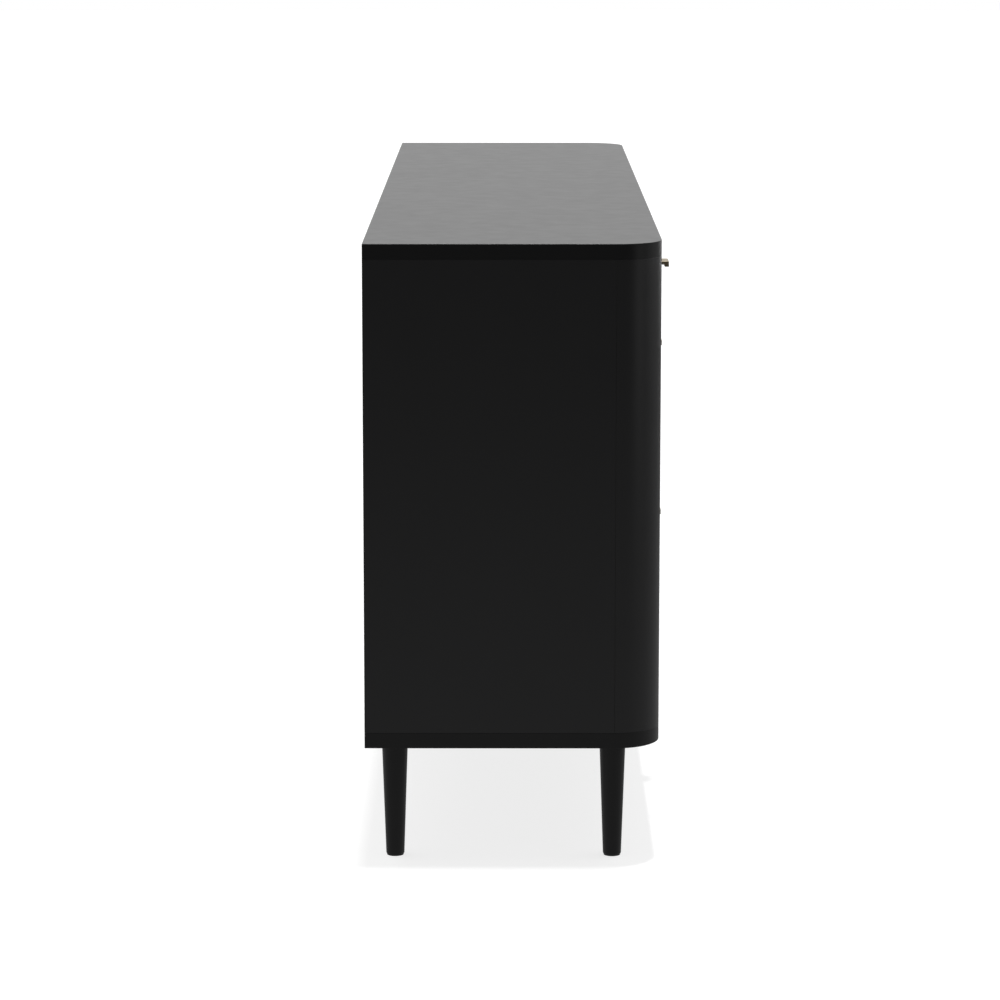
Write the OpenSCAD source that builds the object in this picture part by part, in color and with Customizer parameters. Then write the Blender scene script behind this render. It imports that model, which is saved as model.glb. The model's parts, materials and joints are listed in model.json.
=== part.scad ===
// Long dresser with rounded front corners: eight drawers on side-mounted
// ball-bearing slides, in a black case on four turned, tapered legs.
// Millimetres. X runs along the length, the drawer fronts face -Y and +Z is up.
// The origin is on the floor, at the middle of the overall box with the pulls.

/* [Case] */
// Length of the case
case_l = 1780; // [1400:10:2200]
// Depth of the case without the pulls
case_d = 400; // [320:5:520]
// Height of the case without the legs
case_h = 685; // [540:5:900]
// Thickness of the top and bottom slabs
slab_t = 21; // [18:1:30]
// Thickness of the end panels, corner posts, shelves and dividers
board_t = 18; // [15:1:24]
// Outer radius of the two rounded front corners
corner_r = 62; // [48:1:80]
// Thickness of the boards that carry the outermost slides
runner_board_t = 16; // [12:1:22]
// Thickness of the two back panels
back_t = 6; // [3:0.5:9]
// Width of the rabbet that each back panel lies in
back_lap = 8; // [5:0.5:12]
// How far the back panels lie in from the back edges of the case
back_inset = 3; // [2:0.5:8]
// Depth of the housings that hold the shelves and short dividers
housing_d = 5; // [3:0.5:6]

/* [Legs] */
// Height of the legs, with their glides
leg_h = 165; // [100:5:220]
// Diameter of a leg where it meets the case
leg_top_d = 36; // [28:1:50]
// Diameter of a leg at the foot
leg_foot_d = 25; // [18:1:34]
// Radius of the rounded edge of the foot
foot_round = 1; // [0.5:0.5:4]
// Distance from each end of the case to the middle of a leg
leg_end_inset = 63; // [45:1:160]
// Distance from the front of the case to the middle of a front leg
leg_front_inset = 63; // [45:1:90]
// Distance from the back of the case to the middle of a rear leg
leg_back_inset = 39; // [30:1:90]
// Diameter of the glide under each leg
glide_d = 23; // [14:1:26]
// Thickness of the glide under each leg
glide_t = 2; // [1.5:0.5:6]

/* [Drawers] */
// Height of the small drawer fronts in the top row
top_row_h = 135; // [100:1:180]
// Gap round every drawer front
gap = 3; // [2:0.5:5]
// Thickness of the drawer fronts
front_t = 18; // [15:1:22]
// Thickness of the boards of a drawer box
box_t = 12; // [9:1:16]
// Thickness of the floor of a drawer
floor_t = 6; // [3:0.5:9]
// Height of the floor above the lower edge of the box
floor_up = 10; // [6:1:16]
// Depth of the groove that holds the floor
groove_d = 5; // [3:0.5:7]
// Height of the box's lower edge above the lower edge of its front
box_up = 12; // [8:1:20]
// Distance from the top edge of a front down to the top of its box
box_down = 45; // [40:1:60]
// Free space between a drawer box and the back panel
box_rear = 23; // [10:1:60]

/* [Slides] */
// Width of a slide, between the case and the drawer box
slide_w = 13; // [12:0.5:16]
// Height of the member that is fixed to the case
slide_h = 35; // [27:1:45]
// Height of the member that is fixed to the drawer
slide_inner_h = 24; // [16:1:32]
// Thickness of the slide's sheet steel
slide_t = 1.2; // [1:0.1:1.5]
// Width of the flanges of both members
slide_flange = 9.5; // [8:0.5:10]
// Height of the slide's middle above the lower edge of the box
slide_up = 39; // [24:1:45]
// Distance from each end of the box to the end of the slide
slide_inset = 5; // [2:1:20]

/* [Pulls] */
// Length of a pull, along the front
pull_l = 40; // [20:1:120]
// How far a pull stands out from its front
pull_proj = 18.5; // [14:0.5:32]
// Thickness of the flat part of a pull
pull_t = 4.5; // [4:0.5:8]
// Thickness of the lip at the outer edge
pull_lip_t = 6; // [3:0.5:8]
// Height of the lip at the outer edge
pull_lip_h = 7.5; // [6:0.5:16]
// Distance from the top edge of a front down to the top of its pull
pull_down = 26.5; // [15:0.5:34]
// Distance between the two screws of a pull
pull_screw_pitch = 24; // [12:1:80]
// Diameter of the pull's screws
pull_screw_d = 3; // [2.5:0.5:4]
// Depth of the threaded holes in a pull
pull_screw_depth = 12; // [8:1:13]

/* [Fixings] */
// Diameter of the dowels between the boards and the slabs
dowel_d = 8; // [6:1:10]
// Length of a dowel inside a slab
dowel_in_slab = 11; // [8:1:14]
// Length of a dowel inside an upright board
dowel_in_board = 18; // [12:1:24]
// Diameter of the bolts that hold the legs
bolt_d = 8; // [6:1:10]
// Length of the bolt inside a leg
bolt_in_leg = 30; // [20:1:45]
// Outer diameter of the threaded inserts in the bottom slab
insert_d = 12; // [10:1:16]
// Length of the threaded inserts
insert_l = 15; // [10:1:16]

/* [Hidden] */
// clearances
glue = 0.1;          // between glued boards
loose = 0.3;         // round a panel that slides into a groove or a rabbet
thread = 0.05;       // round a dowel, a bolt or an insert, on the radius
hole_end = 1;        // free depth beyond the end of a dowel or a bolt
screw_play = 0.2;    // round a pull's screw where it passes the front
front_clear = 1;     // behind the drawer fronts and the corner posts
past = 1;            // how far a cut runs past a face
$fn = 72;

// faces and levels
front_y = (pull_proj - case_d) / 2;
back_y = front_y + case_d;
inside_y = front_y + max(front_t, board_t) + front_clear;
rear_y = back_y - back_inset - back_t;
case_z = leg_h;
low_z = case_z + slab_t;
high_z = case_z + case_h - slab_t;
top_z = case_z + case_h;
end_x = case_l / 2;
inner_x = end_x - corner_r;
arc_y = front_y + corner_r;
inner_r = corner_r - board_t;
half_board = board_t / 2;
bay_mid = (inner_x + half_board) / 2;

// rows of drawers, as [lowest, highest] level of their fronts
wide_row_h = (high_z - low_z - top_row_h - 4 * gap) / 2;
row_bottom = [low_z + gap, low_z + gap + wide_row_h];
row_middle = [row_bottom[1] + gap, row_bottom[1] + gap + wide_row_h];
row_top = [high_z - gap - top_row_h, high_z - gap];
shelf_z = row_middle[1] + gap / 2 - half_board;

// spans across one half of the case, as distances from its middle
small_front_w = (inner_x - gap - gap / 2 - gap) / 2;
wide_bay = [half_board, inner_x];
near_bay = [half_board, bay_mid - half_board];
far_bay = [bay_mid + half_board, inner_x];
wide_face = [gap / 2, inner_x - gap];
near_face = [gap / 2, gap / 2 + small_front_w];
far_face = [near_face[1] + gap, inner_x - gap];

// a drawer is its name, the bay it runs in, the width and the levels of its front
function on_side(s, span) = s < 0 ? [-span[1], -span[0]] : span;
function drawer(name, s, bay, face, row) = [name, on_side(s, bay), on_side(s, face), row];
DRAWERS = [
    drawer("drawer_top_1", -1, far_bay, far_face, row_top),
    drawer("drawer_top_2", -1, near_bay, near_face, row_top),
    drawer("drawer_top_3", 1, near_bay, near_face, row_top),
    drawer("drawer_top_4", 1, far_bay, far_face, row_top),
    drawer("drawer_middle_left", -1, wide_bay, wide_face, row_middle),
    drawer("drawer_middle_right", 1, wide_bay, wide_face, row_middle),
    drawer("drawer_bottom_left", -1, wide_bay, wide_face, row_bottom),
    drawer("drawer_bottom_right", 1, wide_bay, wide_face, row_bottom)
];
function bay(d) = d[1];
function face(d) = d[2];
function row(d) = d[3];
function face_mid(d) = (face(d)[0] + face(d)[1]) / 2;
function pull_z(d) = row(d)[1] - pull_down;

// the box of a drawer
box_y = front_y + front_t;
box_l = rear_y - box_rear - box_y;
function box_x(d) = [bay(d)[0] + slide_w, bay(d)[1] - slide_w];
function box_z(d) = [row(d)[0] + box_up, row(d)[1] - box_down];

// dowels, as the places where an upright board meets a slab
side_dowels = [for (s = [-1, 1], t = [0.12, 0.5, 0.88])
    [s * (end_x - half_board), arc_y + t * (back_y - arc_y)]];
post_dowels = [for (s = [-1, 1])
    [s * (inner_x + (inner_r + half_board) * cos(45)), arc_y - (inner_r + half_board) * sin(45)]];
runner_dowels = [for (s = [-1, 1], t = [0.2, 0.75])
    [s * (inner_x + runner_board_t / 2), arc_y + t * (rear_y - arc_y)]];
divider_dowels = [for (t = [0.15, 0.85]) [0, inside_y + t * (rear_y - inside_y)]];
short_dowels = [for (s = [-1, 1], t = [0.2, 0.8])
    [s * bay_mid, inside_y + t * (rear_y - inside_y)]];
full_dowels = concat(side_dowels, post_dowels, runner_dowels, divider_dowels);

leg_places = [for (s = [-1, 1], y = [front_y + leg_front_inset, back_y - leg_back_inset])
    [s * (end_x - leg_end_inset), y]];

lacquer = "#1c1c1d";
birch = "#c9ab7c";
backing = "#2a2522";
zinc = "#b4b7ba";
brass = "#b08d57";
plastic = "#101010";

CASE_NODES = [
    "top_panel", "bottom_panel", "side_panel_left", "side_panel_right",
    "corner_post_left", "corner_post_right", "runner_boards", "centre_divider",
    "dust_shelves", "short_dividers", "back_panels",
    "leg_front_left", "leg_front_right", "leg_rear_left", "leg_rear_right",
    "leg_bolts", "leg_inserts", "foot_glides", "case_runners", "panel_dowels"
];
DRAWER_PIECES = ["front", "box", "floor", "pull", "runners"];

// a box between two corners
module block(x, y, z) {
    translate([x[0], y[0], z[0]]) cube([x[1] - x[0], y[1] - y[0], z[1] - z[0]]);
}

// the plan of the case: square at the back, rounded at the two front corners
module case_outline() {
    translate([-end_x, arc_y]) square([case_l, case_d - corner_r]);
    translate([-inner_x, front_y]) square([2 * inner_x, case_d]);
    for (s = [-1, 1]) translate([s * inner_x, arc_y]) circle(corner_r);
}

// cylinders at the given places that reach below and above a level;
// room widens and lengthens them into holes
module dowel_set(places, z, below, above, room = 0, end = 0) {
    for (p = places)
        translate([p[0], p[1], z - below - end])
            cylinder(d = dowel_d + 2 * room, h = below + above + 2 * end);
}

module low_dowel_holes(places) {
    dowel_set(places, low_z, dowel_in_slab, dowel_in_board, thread, hole_end);
}

module high_dowel_holes(places) {
    dowel_set(places, high_z, dowel_in_board, dowel_in_slab, thread, hole_end);
}

// the space that the back panels lie in
module back_rabbet() {
    reach = end_x - board_t + back_lap;
    block([-reach, reach], [rear_y, back_y + past], [low_z - back_lap, high_z + back_lap]);
}

module slab(z) {
    translate([0, 0, z]) linear_extrude(slab_t) case_outline();
}

module top_panel() {
    color(lacquer) difference() {
        slab(high_z);
        back_rabbet();
        high_dowel_holes(concat(full_dowels, short_dowels));
    }
}

module bottom_panel() {
    color(lacquer) difference() {
        slab(case_z);
        back_rabbet();
        low_dowel_holes(full_dowels);
        for (p = leg_places)
            translate([p[0], p[1], case_z - past])
                cylinder(d = insert_d + 2 * thread, h = insert_l + hole_end + past);
    }
}

module side_panel(s) {
    x = on_side(s, [end_x - board_t, end_x]);
    color(lacquer) difference() {
        block(x, [arc_y + glue, back_y], [low_z + glue, high_z - glue]);
        back_rabbet();
        low_dowel_holes(side_dowels);
        high_dowel_holes(side_dowels);
    }
}

// a quarter of a tube, from the end panel round to the drawer fronts
module corner_post(s) {
    color(lacquer) difference() {
        translate([s * inner_x, arc_y, low_z + glue])
            rotate([0, 0, s < 0 ? 180 : 270])
                rotate_extrude(angle = 90)
                    translate([inner_r, 0]) square([board_t, high_z - low_z - 2 * glue]);
        low_dowel_holes(post_dowels);
        high_dowel_holes(post_dowels);
    }
}

// upright boards behind the corner posts, with their front edges coped to the posts
module runner_boards() {
    color(lacquer) difference() {
        for (s = [-1, 1]) intersection() {
            block(on_side(s, [inner_x, inner_x + runner_board_t]), [front_y + board_t, rear_y - glue],
                [low_z + glue, high_z - glue]);
            union() {
                translate([s * inner_x, arc_y, 0]) cylinder(r = inner_r - glue, h = top_z);
                block(on_side(s, [inner_x - past, end_x]), [arc_y, back_y], [0, top_z]);
            }
        }
        for (s = [-1, 1]) shelf_housing(on_side(s, [inner_x - past, inner_x + housing_d]));
        low_dowel_holes(runner_dowels);
        high_dowel_holes(runner_dowels);
    }
}

// the cut that a shelf slides into
module shelf_housing(x) {
    block(x, [front_y, back_y], [shelf_z - glue, shelf_z + board_t + glue]);
}

module centre_divider() {
    color(lacquer) difference() {
        block([-half_board, half_board], [inside_y, rear_y - glue], [low_z + glue, high_z - glue]);
        for (s = [-1, 1]) shelf_housing(on_side(s, [half_board - housing_d, half_board + past]));
        low_dowel_holes(divider_dowels);
        high_dowel_holes(divider_dowels);
    }
}

module dust_shelves() {
    color(lacquer) difference() {
        for (s = [-1, 1])
            block(on_side(s, [half_board - housing_d + loose, inner_x + housing_d - loose]),
                [inside_y, rear_y - glue], [shelf_z, shelf_z + board_t]);
        for (s = [-1, 1])
            block(on_side(s, [bay_mid - half_board - glue, bay_mid + half_board + glue]),
                [front_y, back_y], [shelf_z + board_t - housing_d, shelf_z + board_t + past]);
    }
}

module short_dividers() {
    color(lacquer) difference() {
        for (s = [-1, 1])
            block(on_side(s, [bay_mid - half_board, bay_mid + half_board]),
                [inside_y, rear_y - glue], [shelf_z + board_t - housing_d + glue, high_z - glue]);
        high_dowel_holes(short_dowels);
    }
}

module back_panels() {
    reach = end_x - board_t + back_lap;
    color(backing) for (s = [-1, 1])
        block(on_side(s, [loose, reach - loose]), [rear_y, rear_y + back_t],
            [low_z - back_lap + loose, high_z + back_lap - loose]);
}

// a turned, tapered leg with its bolt hole, standing on its glide
module leg(p) {
    foot_r = leg_foot_d / 2;
    color(lacquer) translate([p[0], p[1], 0]) difference() {
        rotate_extrude() {
            polygon([[0, glide_t], [foot_r - foot_round, glide_t], [foot_r, glide_t + foot_round],
                [leg_top_d / 2, leg_h], [0, leg_h]]);
            intersection() {
                translate([foot_r - foot_round, glide_t + foot_round]) circle(foot_round);
                translate([0, glide_t]) square([leg_foot_d, leg_foot_d]);
            }
        }
        translate([0, 0, leg_h - bolt_in_leg - hole_end])
            cylinder(d = bolt_d + 2 * thread, h = bolt_in_leg + hole_end + past);
    }
}

module leg_bolts() {
    color(zinc) for (p = leg_places)
        translate([p[0], p[1], leg_h - bolt_in_leg]) cylinder(d = bolt_d, h = bolt_in_leg + insert_l);
}

module leg_inserts() {
    color(zinc) for (p = leg_places) translate([p[0], p[1], leg_h]) difference() {
        cylinder(d = insert_d, h = insert_l);
        translate([0, 0, -past]) cylinder(d = bolt_d + 2 * thread, h = insert_l + 2 * past);
    }
}

module foot_glides() {
    color(plastic) for (p = leg_places) translate([p[0], p[1], 0]) cylinder(d = glide_d, h = glide_t);
}

module panel_dowels() {
    color(birch) {
        dowel_set(full_dowels, low_z, dowel_in_slab, dowel_in_board);
        dowel_set(concat(full_dowels, short_dowels), high_z, dowel_in_board, dowel_in_slab);
    }
}

// a channel of folded sheet steel with its web at x = 0, open towards +X, along the box
module channel(h) {
    f = slide_flange;
    t = slide_t;
    translate([0, box_y + box_l - slide_inset, 0]) rotate([90, 0, 0])
        linear_extrude(box_l - 2 * slide_inset)
            polygon([[0, -h / 2], [f, -h / 2], [f, t - h / 2], [t, t - h / 2],
                [t, h / 2 - t], [f, h / 2 - t], [f, h / 2], [0, h / 2]]);
}

// the two channels of one member, facing each other or back to back
module channel_pair(x, z, h, outward) {
    for (side = [0, 1])
        translate([x[side], 0, z]) mirror([side != outward ? 1 : 0, 0, 0]) channel(h);
}

module case_runners() {
    color(zinc) for (d = DRAWERS) channel_pair(bay(d), box_z(d)[0] + slide_up, slide_h, 0);
}

module drawer_runners(d) {
    color(zinc) channel_pair(box_x(d), box_z(d)[0] + slide_up, slide_inner_h, 1);
}

module drawer_front(d) {
    color(lacquer) difference() {
        block(face(d), [front_y, front_y + front_t], row(d));
        for (s = [-1, 1])
            translate([face_mid(d) + s * pull_screw_pitch / 2, front_y - past, pull_z(d) - pull_t / 2])
                rotate([-90, 0, 0]) cylinder(d = pull_screw_d + 2 * screw_play, h = front_t + 2 * past);
    }
}

// two sides with the front and back boards between them, all grooved for the floor
module drawer_box(d) {
    x = box_x(d);
    y = [box_y, box_y + box_l];
    z = box_z(d);
    between = [x[0] + box_t + glue, x[1] - box_t - glue];
    color(birch) difference() {
        union() {
            block([x[0], x[0] + box_t], y, z);
            block([x[1] - box_t, x[1]], y, z);
            block(between, [y[0], y[0] + box_t], z);
            block(between, [y[1] - box_t, y[1]], z);
        }
        floor_sheet(d, loose);
    }
}

// the floor of a drawer; room widens it into the grooves that hold it
module floor_sheet(d, room = 0) {
    x = box_x(d);
    e = box_t - groove_d - room;
    z = box_z(d)[0] + floor_up;
    block([x[0] + e, x[1] - e], [box_y + e, box_y + box_l - e], [z - room / 2, z + floor_t + room / 2]);
}

module drawer_floor(d) {
    color(birch) floor_sheet(d);
}

// a flat tab with a lip turned down at its outer edge
module drawer_pull(d) {
    color(brass) translate([face_mid(d), front_y, pull_z(d)]) difference() {
        translate([-pull_l / 2, 0, 0]) rotate([90, 0, 90]) linear_extrude(pull_l)
            polygon([[0, 0], [0, -pull_t], [pull_lip_t - pull_proj, -pull_t],
                [pull_lip_t - pull_proj, -pull_lip_h], [-pull_proj, -pull_lip_h], [-pull_proj, 0]]);
        for (s = [-1, 1])
            translate([s * pull_screw_pitch / 2, past, -pull_t / 2])
                rotate([90, 0, 0]) cylinder(d = pull_screw_d, h = pull_screw_depth + past);
    }
}

top_panel();
bottom_panel();
side_panel(-1);  // side_panel_left
side_panel(1);  // side_panel_right
corner_post(-1);  // corner_post_left
corner_post(1);  // corner_post_right
runner_boards();
centre_divider();
dust_shelves();
short_dividers();
back_panels();
leg(leg_places[0]);  // leg_front_left
leg(leg_places[1]);  // leg_rear_left
leg(leg_places[2]);  // leg_front_right
leg(leg_places[3]);  // leg_rear_right
leg_bolts();
leg_inserts();
foot_glides();
case_runners();
panel_dowels();
for (d = DRAWERS) {
    drawer_front(d);
    drawer_box(d);
    drawer_floor(d);
    drawer_pull(d);
    drawer_runners(d);
}
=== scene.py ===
"""Finishes, hardware and stage for a long black dresser with eight drawers.

The case, legs, drawers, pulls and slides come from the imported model. This script rounds their
arrises, gives them their finishes, adds the screws, stops and bumpers, and sets up the stage.
Metres; X runs along the length, the drawer fronts face -Y and +Z is up.
"""

import json
import math

import bmesh
import bpy
from bpy.props import FloatProperty, FloatVectorProperty, IntProperty, PointerProperty
from mathutils import Matrix, Vector

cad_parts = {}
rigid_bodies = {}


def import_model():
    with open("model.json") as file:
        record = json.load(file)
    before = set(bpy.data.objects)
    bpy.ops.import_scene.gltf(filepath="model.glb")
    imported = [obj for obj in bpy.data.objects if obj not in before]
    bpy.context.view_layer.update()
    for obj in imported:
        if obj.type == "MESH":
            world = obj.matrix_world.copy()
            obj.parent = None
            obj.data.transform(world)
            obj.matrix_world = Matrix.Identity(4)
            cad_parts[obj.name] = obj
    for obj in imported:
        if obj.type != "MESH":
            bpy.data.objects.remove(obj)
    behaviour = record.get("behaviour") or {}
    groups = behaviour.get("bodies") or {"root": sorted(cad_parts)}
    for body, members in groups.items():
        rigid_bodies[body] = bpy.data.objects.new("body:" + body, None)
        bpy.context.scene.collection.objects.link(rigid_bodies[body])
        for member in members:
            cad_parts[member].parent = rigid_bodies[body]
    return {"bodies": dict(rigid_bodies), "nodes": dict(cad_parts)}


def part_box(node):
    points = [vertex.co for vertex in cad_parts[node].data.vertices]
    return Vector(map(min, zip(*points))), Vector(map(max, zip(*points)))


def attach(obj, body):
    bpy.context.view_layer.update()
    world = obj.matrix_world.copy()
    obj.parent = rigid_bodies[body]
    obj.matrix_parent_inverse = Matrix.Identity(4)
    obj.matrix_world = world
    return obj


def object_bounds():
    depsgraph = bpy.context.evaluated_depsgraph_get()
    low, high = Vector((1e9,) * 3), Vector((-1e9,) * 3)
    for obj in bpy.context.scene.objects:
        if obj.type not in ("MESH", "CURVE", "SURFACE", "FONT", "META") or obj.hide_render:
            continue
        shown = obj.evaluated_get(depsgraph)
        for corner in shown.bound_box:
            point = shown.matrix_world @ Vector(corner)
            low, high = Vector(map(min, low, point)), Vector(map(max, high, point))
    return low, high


bl_info = {
    "name": "Long dresser finishes",
    "version": (1, 0, 0),
    "blender": (4, 5, 0),
    "location": "3D View > Sidebar > Dresser",
    "description": "Finishes, hardware and stage for a long dresser with eight drawers",
    "category": "Object",
}

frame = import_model()
CAD_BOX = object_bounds()

MM = 0.001
CASE = "case"
DRAWERS = sorted(body for body in frame["bodies"] if body != CASE)
SIDES = (-1, 1)
BACKWARD = Vector((0, 1, 0))
GOLDEN_TURN = math.radians(137.508)  # no two screws next to each other end up turned alike

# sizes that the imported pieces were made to
BOX_BOARD_T = 12 * MM
SLIDE_GAP = 13 * MM  # what a slide fills between the box and the case
SLIDE_SHEET_T = 1.2 * MM
PULL_TAB_T = 4.5 * MM
PULL_SCREW_PITCH = 24 * MM
BACK_LAP = 7.7 * MM  # how far the back panels lap over the boards round them


# ---------------------------------------------------------------- colours and nodes


def linear(hex_colour):
    """An sRGB hex colour as linear red, green and blue."""
    parts = [int(hex_colour[i:i + 2], 16) / 255 for i in (1, 3, 5)]
    return [p / 12.92 if p <= 0.04045 else ((p + 0.055) / 1.055) ** 2.4 for p in parts]


def socket_of(sockets, key):
    """The socket with that number, or the first usable one with that name."""
    if isinstance(key, int):
        return sockets[key]
    return next(s for s in sockets if s.name == key and s.enabled)


def add(tree, kind, inputs=None, **settings):
    """Adds a node. Each input takes a value, the node that feeds it, or that node's output."""
    node = tree.nodes.new(kind)
    for name, value in settings.items():
        setattr(node, name, value)
    for key, value in (inputs or {}).items():
        target = socket_of(node.inputs, key)
        if isinstance(value, bpy.types.Node):
            value = next(s for s in value.outputs if s.enabled)
        if isinstance(value, bpy.types.NodeSocket):
            tree.links.new(value, target)
        elif target.type == "RGBA":
            target.default_value = (*value[:3], 1)
        else:
            target.default_value = value
    return node


def new_material(name, **constants):
    """A material, its tree and its Principled shader, which has the given constants set on it."""
    material = bpy.data.materials.new(name)
    material.use_nodes = True
    tree = material.node_tree
    tree.nodes.clear()
    shader = add(tree, "ShaderNodeBsdfPrincipled")
    for key, value in constants.items():
        shader.inputs[key.replace("_", " ")].default_value = value
    add(tree, "ShaderNodeOutputMaterial", {"Surface": shader})
    return material, tree, shader


def feed(tree, shader, sources):
    """Links nodes to the shader's inputs of those names."""
    for key, source in sources.items():
        tree.links.new(next(s for s in source.outputs if s.enabled), shader.inputs[key])


# ---------------------------------------------------------------- finishes


def sprayed_lacquer(name, colour, roughness_mid, ior):
    """Satin lacquer, sprayed and rubbed down.

    The eye sees soft, wide reflections that vary a little in sharpness from place to place,
    over a very fine orange peel.
    """
    material, tree, shader = new_material(name, IOR=ior)
    place = add(tree, "ShaderNodeTexCoord").outputs["Object"]
    cloud = add(tree, "ShaderNodeTexNoise", {"Vector": place, "Scale": 1 / (90 * MM), "Detail": 3.0})
    tone = add(tree, "ShaderNodeMix", {
        "Factor": cloud, "A": colour, "B": [c * 1.2 for c in colour],
    }, data_type="RGBA")
    rubbed = add(tree, "ShaderNodeTexNoise", {"Vector": place, "Scale": 1 / (28 * MM), "Detail": 4.0})
    roughness = add(tree, "ShaderNodeMapRange", {
        "Value": rubbed, "From Min": 0.3, "From Max": 0.7,
        "To Min": roughness_mid - 0.01, "To Max": roughness_mid + 0.015,
    })
    # real orange peel is 1 to 2 mm across; 3 mm is the finest that shows
    peel = add(tree, "ShaderNodeTexNoise", {"Vector": place, "Scale": 1 / (3 * MM), "Detail": 1.0})
    bump = add(tree, "ShaderNodeBump", {"Height": peel, "Strength": 1.0, "Distance": 0.004 * MM})
    feed(tree, shader, {"Base Color": tone, "Roughness": roughness, "Normal": bump})
    return material


def panel_lacquer(finish):
    """Black lacquer on the upright boards: one full coat over grey primer, so a shade lighter."""
    return sprayed_lacquer(
        "satin_black_lacquer_on_panels", finish.lacquer, finish.lacquer_roughness, ior=1.5)


def slab_lacquer(finish):
    """Black lacquer on the slabs and legs, with extra coats, so deeper and a little less shiny."""
    return sprayed_lacquer(
        "satin_black_lacquer_on_slabs", finish.deep_lacquer, finish.lacquer_roughness, ior=1.44)


def birch_ply(finish):
    """Birch plywood, sanded and clear-lacquered.

    The eye sees pale cream wood with a soft figure and fine fibres along each board, and the
    light and dark layers on its sawn edges. It reads the board's own coordinates, along,
    across and through it, from the attribute that the board modifier writes.
    """
    material, tree, shader = new_material(
        "clear_lacquered_birch_plywood", IOR=1.5, Coat_Weight=0.25, Coat_Roughness=0.3)
    board = add(tree, "ShaderNodeAttribute", attribute_name="board_place").outputs["Vector"]
    edge = add(tree, "ShaderNodeAttribute", attribute_name="board_edge").outputs["Fac"]
    # the figure's bands are 12 to 25 mm wide and ten times as long
    figure_place = add(tree, "ShaderNodeMapping", {"Vector": board, "Scale": (5, 48, 48)})
    figure = add(tree, "ShaderNodeTexNoise", {
        "Vector": figure_place, "Scale": 1.0, "Detail": 4.0, "Roughness": 0.55, "Distortion": 0.9})
    wood = add(tree, "ShaderNodeMix", {
        "Factor": add(tree, "ShaderNodeMapRange", {"Value": figure, "From Min": 0.3, "From Max": 0.7}),
        "A": finish.birch, "B": finish.birch_figure,
    }, data_type="RGBA")
    # fibres: real ones are 0.1 mm wide, drawn 1 mm wide so that they show
    fibre_place = add(tree, "ShaderNodeMapping", {"Vector": board, "Scale": (26, 950, 950)})
    fibre = add(tree, "ShaderNodeTexNoise", {"Vector": fibre_place, "Scale": 1.0, "Detail": 3.0})
    streak = add(tree, "ShaderNodeMapRange", {
        "Value": fibre, "From Min": 0.52, "From Max": 0.74, "To Min": 0.0, "To Max": 0.32})
    grained = add(tree, "ShaderNodeMix", {
        "Factor": streak, "A": wood, "B": [c * 0.55 for c in finish.birch_figure],
    }, data_type="RGBA")
    # sawn edges: nine layers in a board, every other one end grain and darker
    layer_t = BOX_BOARD_T / 9
    through = add(tree, "ShaderNodeSeparateXYZ", {"Vector": board})
    layer = add(tree, "ShaderNodeMath", {
        0: through.outputs["Z"], 1: math.pi / layer_t}, operation="MULTIPLY")
    wave = add(tree, "ShaderNodeMath", {0: layer}, operation="COSINE")
    plies = add(tree, "ShaderNodeMapRange", {"Value": wave, "From Min": -0.35, "From Max": 0.35})
    sawn = add(tree, "ShaderNodeMix", {
        "Factor": plies, "A": [c * 0.42 for c in finish.birch_figure], "B": finish.birch,
    }, data_type="RGBA")
    colour = add(tree, "ShaderNodeMix", {"Factor": edge, "A": grained, "B": sawn}, data_type="RGBA")
    roughness = add(tree, "ShaderNodeMapRange", {"Value": fibre, "To Min": 0.36, "To Max": 0.58})
    bump = add(tree, "ShaderNodeBump", {"Height": fibre, "Strength": 0.6, "Distance": 0.04 * MM})
    feed(tree, shader, {"Base Color": colour, "Roughness": roughness, "Normal": bump})
    return material


def beech_dowel(finish):
    """Beech dowel, turned and fluted: pinkish brown with short dark rays."""
    material, tree, shader = new_material("turned_beech_dowel", Roughness=0.6, IOR=1.5)
    place = add(tree, "ShaderNodeTexCoord").outputs["Object"]
    along = add(tree, "ShaderNodeMapping", {"Vector": place, "Scale": (900, 900, 90)})
    rays = add(tree, "ShaderNodeTexNoise", {"Vector": along, "Scale": 1.0, "Detail": 2.0})
    colour = add(tree, "ShaderNodeMix", {
        "Factor": add(tree, "ShaderNodeMapRange", {"Value": rays, "From Min": 0.4, "From Max": 0.7}),
        "A": finish.beech, "B": [c * 0.6 for c in finish.beech],
    }, data_type="RGBA")
    bump = add(tree, "ShaderNodeBump", {"Height": rays, "Strength": 0.5, "Distance": 0.05 * MM})
    feed(tree, shader, {"Base Color": colour, "Normal": bump})
    return material


def back_board(finish):
    """Hardboard, pressed and factory-painted black: dull, with flecks of fibre under the paint."""
    material, tree, shader = new_material("black_painted_hardboard", IOR=1.48)
    place = add(tree, "ShaderNodeTexCoord").outputs["Object"]
    fibre = add(tree, "ShaderNodeTexNoise", {
        "Vector": place, "Scale": 1 / (2.5 * MM), "Detail": 5.0, "Roughness": 0.7, "Distortion": 1.5})
    cloud = add(tree, "ShaderNodeTexNoise", {"Vector": place, "Scale": 1 / (140 * MM), "Detail": 2.0})
    flecks = add(tree, "ShaderNodeMath", {0: fibre, 1: cloud}, operation="MULTIPLY")
    colour = add(tree, "ShaderNodeMix", {
        "Factor": add(tree, "ShaderNodeMapRange", {"Value": flecks, "From Min": 0.12, "From Max": 0.4}),
        "A": finish.back, "B": [c * 1.9 for c in finish.back],
    }, data_type="RGBA")
    roughness = add(tree, "ShaderNodeMapRange", {"Value": fibre, "To Min": 0.5, "To Max": 0.68})
    bump = add(tree, "ShaderNodeBump", {"Height": fibre, "Strength": 1.0, "Distance": 0.05 * MM})
    feed(tree, shader, {"Base Color": colour, "Roughness": roughness, "Normal": bump})
    return material


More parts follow.
